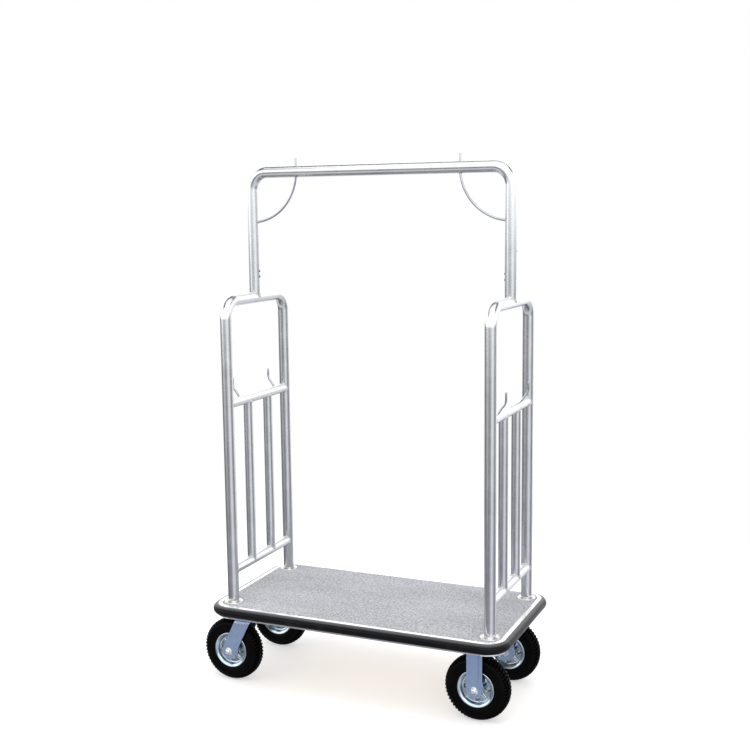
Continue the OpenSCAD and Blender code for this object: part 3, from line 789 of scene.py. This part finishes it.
class CART_OT_rods(bpy.types.Operator):
    """Build the bag hooks and the corner braces with their pegs as bent rods"""

    bl_idname = "cart.rods"
    bl_label = "Hooks and braces"

    ball = 3.8 * MM
    hook_rod = 3.5 * MM
    hook_bend = 12 * MM
    hook_foot = 12 * MM
    hook_knee = 45 * MM
    brace_sunk = 1.5 * MM

    def execute(self, context):
        steel = material("bright_rod", satin_steel, *ROD_STEEL)
        m = measures()
        for side, sign in SIDES.items():
            self.hooks(side, sign, m, steel)
            self.brace(side, sign, m, steel)
        return {"FINISHED"}

    def hooks(self, side, sign, m, steel):
        """Hooks lean out of the rail, bend upright on a small radius and end in a round tip."""
        low, high, _ = span(f"hooks_{side}")
        out_x = high[0] - self.ball if sign > 0 else low[0] + self.ball
        shell = Shell()
        for y in (low[1] + self.ball, high[1] - self.ball):
            start = np.array([sign * m.post_x, y, m.upper_z + self.hook_foot])
            knee = np.array([out_x, y, m.upper_z + self.hook_knee])
            end = np.array([out_x, y, high[2] - self.hook_rod])
            t = np.linspace(0, 1, 13)[:, None]
            before = knee + (start - knee) / np.linalg.norm(start - knee) * self.hook_bend
            after = knee + np.array([0, 0, self.hook_bend])
            curve = before * (1 - t) ** 2 + 2 * knee * t * (1 - t) + after * t**2
            shell.ring(sweep(np.vstack([start, curve, end]), self.hook_rod, (0, 1, 0)))
        shell.piece(f"bag_hooks_{side}", "cart", "stainless_tube", steel, [f"hooks_{side}"])

    def brace(self, side, sign, m, steel):
        """Quarter circle about the arch's corner, then a straight peg through the garment bar:
        x = post - reach sin a, z = arch - reach cos a."""
        rod, inner, reach, top = brace_measures(side, m)
        angle = np.linspace(math.asin((m.tube - self.brace_sunk) / reach), math.pi / 2, 40)
        arc_x = sign * (m.post_x - reach * np.sin(angle))
        arc_z = m.arch_z - reach * np.cos(angle)
        path = np.stack([arc_x, 0 * arc_x, arc_z], -1)
        peg = [[sign * inner, 0, m.arch_z + m.tube], [sign * inner, 0, top - rod]]
        shell = Shell().ring(sweep(np.vstack([path, peg]), rod, (0, 1, 0)))
        shell.piece(f"corner_brace_{side}", "cart", "stainless_tube", steel, [f"brace_{side}"])


class CART_OT_welds(bpy.types.Operator):
    """Lay the weld beads where tubes and rods meet"""

    bl_idname = "cart.welds"
    bl_label = "Welds"

    def execute(self, context):
        look = context.scene.cart_tubes
        bead = look.weld_radius
        metal = material("weld_bead", weld_steel, look.tint)
        m = measures()
        up, across = (0, 0, 1), (0, 1, 0)
        for side, sign in SIDES.items():
            x = sign * m.post_x
            shell = Shell()
            for y in (-1, 1):
                for z in (m.upper_z, m.lower_z):
                    spot = (x, y * m.post_y, z)
                    shell.torus(weld_ring(spot, (0, -y, 0), up, m.bar, m.tube, bead))
                for z, way in ((m.lower_z, 1), (m.upper_z, -1)):
                    spot = (x, y * m.bar_y, z)
                    shell.torus(weld_ring(spot, (0, 0, way), across, m.bar, m.bar, bead))
            spot = (x, 0, m.hoop_z)
            shell.torus(weld_ring(spot, up, across, m.tube, m.tube, bead))
            shell.piece(f"frame_welds_{side}", "cart", "stainless_tube", metal, crease=80)
            rod, inner, reach, _ = brace_measures(side, m)
            small = Shell()
            joints = [
                ((x, 0, m.arch_z - reach), (-sign, 0, 0), up),
                ((sign * inner, 0, m.arch_z), (0, 0, -1), (1, 0, 0)),
                ((sign * inner, 0, m.arch_z), (0, 0, 1), (1, 0, 0)),
            ]
            for spot, way, axis in joints:
                small.torus(weld_ring(spot, way, axis, rod, m.tube, 0.6 * bead, 48))
            small.piece(f"brace_welds_{side}", "cart", "stainless_tube", metal, crease=80)
        return {"FINISHED"}


class CART_OT_screws(bpy.types.Operator):
    """Build the arch's socket screws and rivets, and dress the plain fasteners"""

    bl_idname = "cart.screws"
    bl_label = "Screws"

    screw_heights = (16 * MM, 35 * MM)
    screw_head = (4 * MM, 2 * MM)
    rivet_head = (3.1 * MM, 1.4 * MM)

    def execute(self, context):
        zinc = material("zinc_screws", zinc_plate, *SCREW_ZINC)
        dark = material("dark_screws", zinc_plate, *DARK_SCREW)
        for node in ("post_screws", "kingpins", "race_balls", "caster_bolts", "post_feet"):
            dress(node, zinc)
            smooth_node(node)
        m = measures()
        screws, rivets = Shell(), Shell()
        for sign in SIDES.values():
            for height in self.screw_heights:
                spot = (sign * (m.post_x - m.tube), 0, m.seam_z + height)
                for part in self.button(*self.screw_head, spot, -sign):
                    screws.ring(part)
            spot = (sign * (m.post_x + m.tube), 0, span("arch_rivets")[2][2])
            rivets.ring(self.dome(*self.rivet_head, spot, sign))
        screws.piece("arch_socket_screws", "cart", "fasteners", dark, ["arch_screws"])
        rivets.piece("arch_pop_rivets", "cart", "fasteners", zinc, ["arch_rivets"])
        return {"FINISHED"}

    def button(self, size, rise, spot, flip):
        """Button head: a domed ring round a six-sided socket."""
        socket = 0.42 * size
        shoulder = arc(0.55 * size, 0.3 * rise, 0.45 * size, 25, 80, 5)
        profile = [(0, -rise), (size, -rise), (size, 0.25 * rise), *shoulder, (1.15 * socket, rise)]
        outer = lathe(profile, 36, spot, "x", flip)
        angle = turns(36)[:, None]
        six = six_sided(angle)
        wall = np.concatenate([np.ones_like(six), six, six, six], 1)
        radius = np.array([1.15, 1, 1, 0]) * socket * wall
        height = np.broadcast_to(np.array([rise, rise, 0.35 * rise, 0.35 * rise]), radius.shape)
        inner = along((radius * np.cos(angle), radius * np.sin(angle), height), spot, "x", flip)
        return [outer, inner]

    def dome(self, size, rise, spot, flip):
        """Flat dome of a pop rivet, with the small dimple its pin leaves."""
        profile = [(0, -1), (1, -1), (1, 0.15), (0.86, 0.62), (0.6, 0.92), (0.36, 1), (0.3, 0.7),
                   (0, 0.66)]
        return lathe(np.array(profile) * (size, rise), 32, spot, "x", flip)


# ---------- deck ----------


class CART_OT_deck(bpy.types.Operator):
    """Dress the metal edge, the bumper, the board and the flats under it"""

    bl_idname = "cart.deck"
    bl_label = "Deck"

    def execute(self, context):
        look = context.scene.cart_deck
        dress("deck_edge", material("edge_metal", satin_steel, look.edge_tint, EDGE_ROUGHNESS))
        dress("bumper", material("bumper", black_rubber, look.rubber_colour, *BUMPER_RUBBER))
        dress("deck_board", material("board", plywood, BOARD_TINT))
        dress("cross_members", material("flat_paint", black_paint, PAINT_TINT))
        for node in ("deck_edge", "bumper"):
            soften(node, 0.8 * MM)
        soften("cross_members", 0.5 * MM)
        return {"FINISHED"}


class CART_OT_carpet(bpy.types.Operator):
    """Build the loop-pile carpet let into the metal edge"""

    bl_idname = "cart.carpet"
    bl_label = "Carpet"

    columns = 400
    rows = 216
    round_over = 3.5 * MM
    roll_depth = 1.6 * MM
    swell_height = 0.12 * MM

    def execute(self, context):
        look = context.scene.cart_deck
        low, high, _ = span("deck_carpet")
        half_x, half_y = high[0], high[1]
        corner = self.corner_radius(half_x, half_y)
        v = np.linspace(-1, 1, self.rows)[:, None]
        u = np.linspace(-1, 1, self.columns)[None, :]
        over = np.maximum(np.abs(v) * half_y - (half_y - corner), 0)
        width = half_x - corner + np.sqrt(np.maximum(corner**2 - over**2, 0))
        x = u * width
        y = v * half_y + 0 * u
        z = high[2] + self.pile(x, y, half_x, half_y, look.pile)
        top = np.stack([x, y, z], -1)
        edge = np.vstack([top[0], top[1:, -1], top[-1, -2::-1], top[-2:0:-1, 0]])
        skirt = [edge, edge * (1, 1, 0) + (0, 0, low[2]), 0 * edge + (0, 0, low[2])]
        shell = Shell().grid(top).ring(np.stack(skirt, 1))
        carpet = material("carpet", loop_carpet, look.carpet_colour)
        shell.piece("loop_pile_carpet", "cart", "carpet", carpet, ["deck_carpet"], crease=180)
        return {"FINISHED"}

    def corner_radius(self, half_x, half_y):
        """Radius of the carpet's corners, from the CAD node's own straight edge."""
        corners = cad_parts["deck_carpet"].data.vertices
        points = np.empty(3 * len(corners))
        corners.foreach_get("co", points)
        points = points.reshape(-1, 3)
        on_edge = points[points[:, 1] > half_y - 0.1 * MM]
        return half_x - on_edge[:, 0].max()

    def pile(self, x, y, half_x, half_y, height):
        """Loops stand in staggered rows, each a little higher or lower than the next, on a
        slow swell; the border rolls over by round_over. Height is relative to the CAD top."""
        draw = np.random.default_rng(7)
        loops = np.indices(x.shape).sum(0) % 2
        loops = loops * (0.55 + 0.45 * draw.random(x.shape))
        wave = np.sin(x * 9 + 2 * np.sin(y * 13)) * np.sin(y * 17 + 1.5 * np.sin(x * 7))
        inset = np.minimum(half_x - np.abs(x), half_y - np.abs(y))
        roll = 1 - np.sqrt(1 - (1 - np.clip(inset / self.round_over, 0, 1)) ** 2)
        return (loops - 0.5) * height + self.swell_height * wave - self.roll_depth * roll


class CART_OT_flanges(bpy.types.Operator):
    """Build the flared escutcheons round the feet of the posts"""

    bl_idname = "cart.flanges"
    bl_label = "Flanges"

    def execute(self, context):
        bright = material("bright_flange", satin_steel, *FLANGE_STEEL)
        m = measures()
        high = span("post_flanges")[1]
        top = span("deck_carpet")[1][2]
        edge = high[0] - m.post_x
        tube = m.tube + 0.05 * MM
        crown = high[2] - top
        flare = [(0.0, 1.0), (0.10, 1.04), (0.22, 0.97), (0.34, 0.80), (0.48, 0.60), (0.64, 0.47),
                 (0.82, 0.41), (0.94, 0.36), (0.985, 0.26), (1.0, 0.1), (1.0, -0.12), (0.0, -0.12)]
        profile = [(tube + (edge - tube) * r, top + crown * z) for r, z in flare]
        shell = Shell()
        for sx in (-1, 1):
            for sy in (-1, 1):
                centre = (sx * m.post_x, sy * m.post_y, 0)
                shell.torus(lathe(profile, 72, centre))
        shell.piece("flared_escutcheons", "cart", "stainless_tube", bright, ["post_flanges"],
                    crease=50)
        return {"FINISHED"}


# ---------- casters ----------


class CART_OT_forks(bpy.types.Operator):
    """Dress the caster plates and forks in blue bright zinc, with rounded sheet edges"""

    bl_idname = "cart.forks"
    bl_label = "Forks"

    def execute(self, context):
        look = context.scene.cart_wheels
        zinc = material("fork_zinc", zinc_plate, look.fork_tint, FORK_ROUGHNESS, FORK_METAL)
        for end in ENDS:
            for node in (f"rigid_fork_{end}", f"swivel_fork_{end}", f"swivel_plate_{end}"):
                dress(node, zinc)
                soften(node, 1.2 * MM, 50)
        return {"FINISHED"}


def wheel_centre(side, end):
    """Centre of a wheel and the sign of its outboard direction along Y."""
    return span(f"tyre_{side}_{end}")[2], ENDS[end]


class CART_OT_axles(bpy.types.Operator):
    """Build each axle: bolt head, flanged dome nut, spacers and shank"""

    bl_idname = "cart.axles"
    bl_label = "Axles"

    blade = 40 * MM
    hub_face = 26.3 * MM
    gap = 36 * MM
    nut = 11 * MM
    shank = 6 * MM

    def execute(self, context):
        zinc = material("bright_zinc", zinc_plate, *AXLE_ZINC)
        rigid = Shell()
        for side, end in CORNERS:
            centre, out = wheel_centre(side, end)
            shell = Shell() if side == "left" else rigid
            self.hardware(shell, centre, out)
            if side == "left":
                shell.piece(f"axle_set_{end}", f"swivel_caster_{end}", "zinc_plate", zinc,
                            [f"swivel_axle_{end}"], crease=28)
        rigid.piece("axle_set_rigid", "cart", "zinc_plate", zinc, ["rigid_axles"], crease=28)
        return {"FINISHED"}

    def hardware(self, shell, centre, out):
        """All of one axle, drawn about its own line with the dome nut outboard."""
        b, n, s = self.blade, self.nut, self.shank
        dome_r, dome_z = 8.5 * MM, b + 8.4 * MM

        def turned(profile, steps=48):
            shell.ring(lathe(profile, steps, centre, "y", out))

        shell.ring(along(hexagon(n, -b - 7 * MM, -b, 1.1 * MM), centre, "y", out))
        shell.ring(along(hexagon(n, b + 1.4 * MM, b + 8 * MM, 0.9 * MM), centre, "y", out))
        turned([(0, b), (1.16 * n, b), (1.2 * n, b + 0.3 * MM), (1.18 * n, b + 1.1 * MM),
                (n, b + 1.6 * MM), (0, b + 1.6 * MM)])
        turned([(0, b + 7 * MM), (dome_r, b + 7 * MM), (dome_r, dome_z),
                *((dome_r * math.cos(a), dome_z + 3.5 * MM * math.sin(a))
                  for a in np.radians(np.linspace(0, 90, 7))[1:])])
        turned([(0, -b - MM), (s, -b - MM), (s, b + 2 * MM), (0, b + 2 * MM)], 40)
        near, far = self.hub_face, self.gap
        spacer = [(s + 0.05 * MM, near), (s + 3.4 * MM, near), (s + 4 * MM, near + 0.6 * MM),
                  (s + 4 * MM, far - 0.6 * MM), (s + 3.4 * MM, far), (s + 0.05 * MM, far)]
        for way in (-1, 1):
            shell.torus(lathe(spacer, 40, centre, "y", way))


class CART_OT_tyres(bpy.types.Operator):
    """Build the four pneumatic tyres with their lugged tread"""

    bl_idname = "cart.tyres"
    bl_label = "Tyres"

    samples = 10
    bead_r = 62.9 * MM
    belly_depth = 27.5 * MM
    bulge = 4.4 * MM
    crown_power = 2 / 2.5
    slant = 0.55

    def execute(self, context):
        look = context.scene.cart_wheels
        rubber = material("tyre", black_rubber, look.tyre_colour, *TYRE_RUBBER)
        for side, end in CORNERS:
            node = f"tyre_{side}_{end}"
            low, high, centre = span(node)
            grid = self.shape((high[2] - low[2]) / 2, (high[1] - low[1]) / 2, look)
            shell = Shell().torus(along(grid, centre, "y"))
            shell.piece(f"lugged_{node}", f"wheel_{side}_{end}", "tyre_rubber", rubber, [node],
                        crease=34)
        return {"FINISHED"}

    def shape(self, radius, half, look):
        """Section: from the bead the wall bulges as a parabola to its widest point, then the
        crown is a superellipse |y|^n + r^n = 1 up to the tread, which is cut inwards from it."""
        belly = radius - self.belly_depth
        t = np.linspace(0, 1, 10)[:-1]
        wall_r = self.bead_r + (belly - self.bead_r) * t
        rings = 0.5 * MM * (np.abs(t - 0.35) < 0.07) + 0.35 * MM * (np.abs(t - 0.75) < 0.07)
        wall_y = half - self.bulge * (1 - t) ** 2 - rings
        bow = np.linspace(0, math.pi, 47)
        crown_y = half * np.sign(np.cos(bow)) * np.abs(np.cos(bow)) ** self.crown_power
        crown_r = belly + (radius - belly) * np.sin(bow) ** self.crown_power
        inner_r = np.array([62.4, 58.0, 53.4, 53.4, 58.0, 62.4]) * MM
        inner_y = np.array([-23.4, -23.2, -22.6, 22.6, 23.2, 23.4]) * MM
        r = np.concatenate([wall_r, crown_r, wall_r[::-1], inner_r])
        y = np.concatenate([wall_y, crown_y, -wall_y[::-1], inner_y])
        wall, inside = np.full(len(wall_r), 2.0), np.full(len(inner_r), 3.0)
        across = np.concatenate([wall, np.cos(bow), -wall, inside])
        steps = look.lugs * self.samples
        turn = turns(steps)[:, None]
        skew = TAU / look.lugs * self.slant * np.abs(np.clip(across, -1, 1)) ** 1.5
        cut = look.tread_depth * self.tread(np.arange(steps)[:, None] / self.samples, across)
        normal_r = np.clip((r - belly) / (radius - belly), 0.35, 1)
        normal_y = np.sign(y) * np.sqrt(1 - normal_r**2)
        deep = r - cut * normal_r
        angle = turn + skew
        return deep * np.cos(angle), deep * np.sin(angle), y - cut * normal_y

    def tread(self, lug, across):
        """Depth share of the tread, 0 on a lug and 1 in a groove: side grooves half a pitch
        apart on the two sides, a zigzag groove in the middle and a shallow one each side."""
        phase = (lug + 0.5 * (across > 0)) % 1
        gap = 1 - smooth(np.abs(phase - 0.5), 0.15, 0.25)
        reach = smooth(np.abs(across), 0.16, 0.26) * (1 - smooth(np.abs(across), 0.80, 0.88))
        zigzag = 0.07 * (4 * np.abs(lug % 1 - 0.5) - 1)
        middle_cut = 1 - smooth(np.abs(across - zigzag), 0.035, 0.075)
        side_cut = 0.5 * (1 - smooth(np.abs(np.abs(across) - 0.46), 0.02, 0.05))
        return np.maximum(np.maximum(gap * reach, middle_cut), side_cut) * (np.abs(across) <= 1)


class CART_OT_rims(bpy.types.Operator):
    """Build the pressed rim halves, their bolts and the bearing hubs"""

    bl_idname = "cart.rims"
    bl_label = "Rims"

    steps = 192
    pocket_ring = 36 * MM
    pocket_depth = 11.6 * MM
    rib_height = 1.3 * MM

    def execute(self, context):
        look = context.scene.cart_wheels
        zinc = material("rim_zinc", zinc_plate, look.zinc_tint, RIM_ROUGHNESS)
        plain = material("plain_zinc", zinc_plate, *HUB_ZINC)
        for side, end in CORNERS:
            centre, out = wheel_centre(side, end)
            body, tail = f"wheel_{side}_{end}", f"{side}_{end}"
            for half, way in (("outer", out), ("inner", -out)):
                shell = Shell().torus(along(self.pressing(look.sheet), centre, "y", way))
                shell.piece(f"pressed_rim_{half}_{tail}", body, "zinc_plate", zinc,
                            [f"rim_{half}_{tail}"], crease=50)
            bolts = Shell()
            self.bolts(bolts, centre, out)
            bolts.piece(f"hex_rim_bolts_{tail}", body, "fasteners", plain,
                        [f"rim_bolts_{tail}"], crease=28)
            hub = Shell().torus(self.hub(centre))
            hub.piece(f"bearing_hub_{tail}", body, "zinc_plate", plain, [f"hub_{tail}"],
                      crease=35)
        return {"FINISHED"}

    def pressing(self, sheet):
        """Section of one half from the hub collar over the disc, up the bell-shaped flange and
        round the rolled lip, and back on the other face; the disc sinks into four round
        pockets by a smooth step of the distance to each pocket's middle, and rises in ribs."""
        edge = [(18.1, 23.2), (18.8, 23.4), (20.3, 23.2), (20.5, 22.4), (20.5, 17.2),
                (20.9, 15.2), (22.2, 14.2)]
        disc = [(r, 14.0) for r in np.linspace(23.4, 46.0, 24)]
        bell = [(47.6, 14.3), (48.9, 15.3), (49.7, 16.8), (50.2, 18.9), (50.8, 21.2),
                (51.8, 23.4), (53.3, 25.1), (55.3, 26.4), (57.6, 27.5)]
        lip = [(59.2, 28.3), (60.5, 28.3), (61.5, 27.6), (62.0, 26.4), (61.8, 25.2),
               (61.0, 24.5), (60.2, 25.0)]
        front = np.array(edge + disc + bell) * MM
        tangent = unit(np.gradient(front, axis=0))
        back = front + sheet * np.stack([tangent[:, 1], -tangent[:, 0]], -1)
        back[:, 0] = np.maximum(back[:, 0], 18.1 * MM)
        section = np.vstack([front, np.array(lip) * MM, back[::-1]])
        r, y = section[:, 0], section[:, 1]
        angle = turns(self.steps)[:, None]
        quarter = (angle + math.pi / 4) % (math.pi / 2) - math.pi / 4
        along_arm, beside = r * np.cos(quarter), r * np.sin(quarter)
        away = np.hypot(along_arm - self.pocket_ring, beside)
        sink = self.pocket_depth * (1 - smooth(away, 6.6 * MM, 9.6 * MM))
        eighth = angle % (math.pi / 2) - math.pi / 4
        rib = self.rib_height * (1 - smooth(np.abs(r * np.sin(eighth)), 2.2 * MM, 4.6 * MM))
        rib = rib * smooth(r, 24 * MM, 27 * MM) * (1 - smooth(r, 42 * MM, 45 * MM))
        lift = (rib - sink) * (r < 46.5 * MM) * (r > 22.5 * MM)
        return r * np.cos(angle), r * np.sin(angle), y + lift

    def bolts(self, shell, centre, out):
        """Bolt heads in the outboard pockets and nuts in the inboard ones."""
        seat, size = 2.45 * MM, 6.4 * MM
        shank = np.array([(0, -10.45), (3.2, -10.45), (3.8, -9.65), (3.8, 3.45), (0, 3.45)]) * MM
        for x, z in ((1, 0), (0, 1), (-1, 0), (0, -1)):
            spot = np.array(centre) + self.pocket_ring * np.array([x, 0, z])
            for low, high in ((seat, seat + 5 * MM), (-seat - 6 * MM, -seat)):
                shell.ring(along(hexagon(size, low, high, 0.7 * MM), spot, "y", out))
            shell.ring(lathe(shank, 28, spot, "y", out))

    def hub(self, centre):
        """Sleeve with a chamfer and a bearing shield let into each end: a ring and a lip."""
        one = [(6.05, 0), (6.05, 26), (9.65, 26), (10.05, 25.1), (11.45, 25.5), (13.65, 25.5),
               (14.65, 25), (14.95, 25.8), (17.3, 26), (18, 25.3), (18, 0)]
        other = [(r, -z) for r, z in one[-2:0:-1]]
        return lathe(np.array(one[1:] + other) * MM, 56, centre, "y")


# ---------- panel and start ----------


OPERATORS = (
    CART_OT_stage, CART_OT_tubes, CART_OT_rods, CART_OT_welds, CART_OT_screws, CART_OT_deck,
    CART_OT_carpet, CART_OT_flanges, CART_OT_forks, CART_OT_axles, CART_OT_tyres, CART_OT_rims,
)
SETTINGS = {
    "cart_tubes": CartTubeSettings,
    "cart_deck": CartDeckSettings,
    "cart_wheels": CartWheelSettings,
    "cart_stage": CartStageSettings,
}


class CART_PT_panel(bpy.types.Panel):
    """Sidebar panel with every setting and step of the cart"""

    bl_idname = "CART_PT_panel"
    bl_label = "Luggage Cart"
    bl_space_type = "VIEW_3D"
    bl_region_type = "UI"
    bl_category = "Luggage Cart"

    def draw(self, context):
        for key, group in SETTINGS.items():
            box = self.layout.box()
            for name in group.__annotations__:
                box.prop(getattr(context.scene, key), name)
        for step in OPERATORS:
            self.layout.operator(step.bl_idname)


CLASSES = (*SETTINGS.values(), *OPERATORS, CART_PT_panel)


def register():
    for each in CLASSES:
        bpy.utils.register_class(each)
    for key, group in SETTINGS.items():
        setattr(bpy.types.Scene, key, PointerProperty(type=group))


def unregister():
    for key in SETTINGS:
        delattr(bpy.types.Scene, key)
    for each in reversed(CLASSES):
        bpy.utils.unregister_class(each)


def main():
    register()
    for step in OPERATORS:
        group, name = step.bl_idname.split(".")
        getattr(getattr(bpy.ops, group), name)()


if __name__ == "__main__":
    main()
